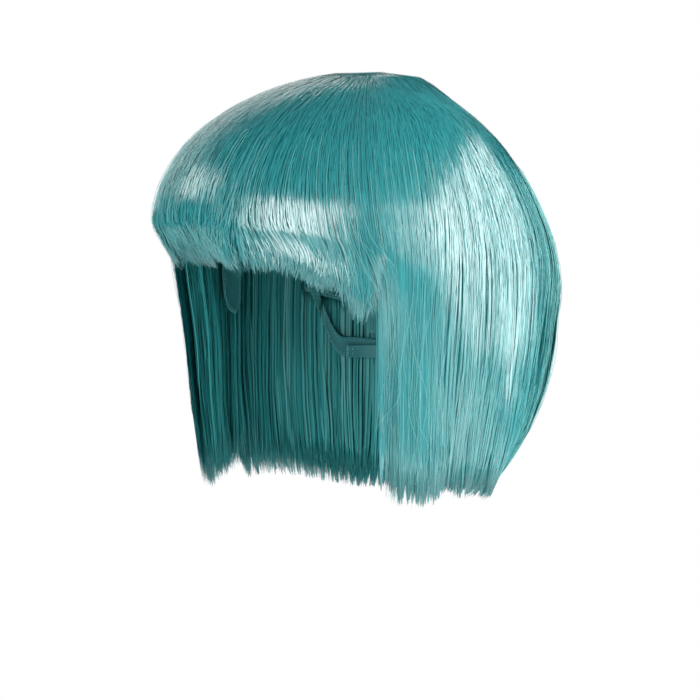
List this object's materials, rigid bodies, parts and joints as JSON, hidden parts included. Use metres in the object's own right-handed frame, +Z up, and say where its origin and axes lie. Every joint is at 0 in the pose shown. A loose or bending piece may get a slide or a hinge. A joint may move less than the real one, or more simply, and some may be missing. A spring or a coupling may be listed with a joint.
{
  "type": "costume wig",
  "caption": "Jaw-length straight bob wig with a full fringe, wefted on an open cap with a crown patch, binding tapes, ear tabs and hook adjusters at the nape.",
  "frame": {"origin": "middle of the space the head takes in the cap, 120 mm below the top of the hair", "axes": "-Y is the way the face looks, +X is the wearer's left, +Z is up"},
  "size_m": [0.2018, 0.2355, 0.2359],
  "materials": {
    "hair_fibre": "straight satin synthetic fibre, light teal",
    "cap_net": "fine stretch net",
    "cap_tape": "matt woven tape",
    "elastic_tape": "ribbed woven elastic",
    "hook_plastic": "translucent moulded plastic"
  },
  "bodies": {
    "cap": {"crown_hair_front": "hair_fibre", "fringe_weft_upper": "hair_fibre", "fringe_weft_lower": "hair_fibre", "crown_hair_left": "hair_fibre", "side_weft_left_1": "hair_fibre", "side_weft_left_2": "hair_fibre", "side_weft_left_3": "hair_fibre", "crown_hair_right": "hair_fibre", "side_weft_right_1": "hair_fibre", "side_weft_right_2": "hair_fibre", "side_weft_right_3": "hair_fibre", "crown_hair_back_left": "hair_fibre", "crown_hair_back_right": "hair_fibre", "back_weft_1": "hair_fibre", "back_weft_2": "hair_fibre", "back_weft_3": "hair_fibre", "back_weft_4": "hair_fibre", "back_weft_5": "hair_fibre", "crown_patch": "cap_net", "forehead_band": "cap_tape", "ear_band_left": "cap_tape", "ear_band_right": "cap_tape", "nape_band": "elastic_tape", "rib_front_left": "cap_tape", "rib_front_right": "cap_tape", "rib_temple_left": "cap_tape", "rib_temple_right": "cap_tape", "rib_side_left": "cap_tape", "rib_side_right": "cap_tape", "rib_back_left": "cap_tape", "rib_back_right": "cap_tape", "rib_back_middle": "cap_tape", "adjuster_strap_left": "elastic_tape", "ladder_tape_left": "cap_tape", "adjuster_strap_right": "elastic_tape", "ladder_tape_right": "cap_tape"},
    "adjuster_left": {"adjuster_hook_left": "hook_plastic"},
    "adjuster_right": {"adjuster_hook_right": "hook_plastic"},
    "ear_tab_left": {"ear_tab_left": "cap_tape"},
    "ear_tab_right": {"ear_tab_right": "cap_tape"}
  },
  "joints": [
    {"name": "hook_left_along_ladder", "type": "hinge", "parent": "cap", "child": "adjuster_left", "pos_m": [0, 0.026, -0.037], "axis": [0, 0, 1], "range_deg": [-6.45, 12.9], "deforming": ["adjuster_strap_left", "ladder_tape_left"]},
    {"name": "ear_tab_left_bends", "type": "hinge", "parent": "cap", "child": "ear_tab_left", "pos_m": [0.0731, -0.028, 0.01225], "axis": [0.2597, 0.8889, -0.3775], "range_deg": [0, 25], "stiffness_Nm_per_rad": 0.01},
    {"name": "hook_right_along_ladder", "type": "hinge", "parent": "cap", "child": "adjuster_right", "pos_m": [0, 0.026, -0.037], "axis": [0, 0, -1], "range_deg": [-6.45, 12.9], "deforming": ["adjuster_strap_right", "ladder_tape_right"]},
    {"name": "ear_tab_right_bends", "type": "hinge", "parent": "cap", "child": "ear_tab_right", "pos_m": [-0.0731, -0.028, 0.01225], "axis": [0.2597, -0.8889, 0.3775], "range_deg": [0, 25], "stiffness_Nm_per_rad": 0.01}
  ]
}
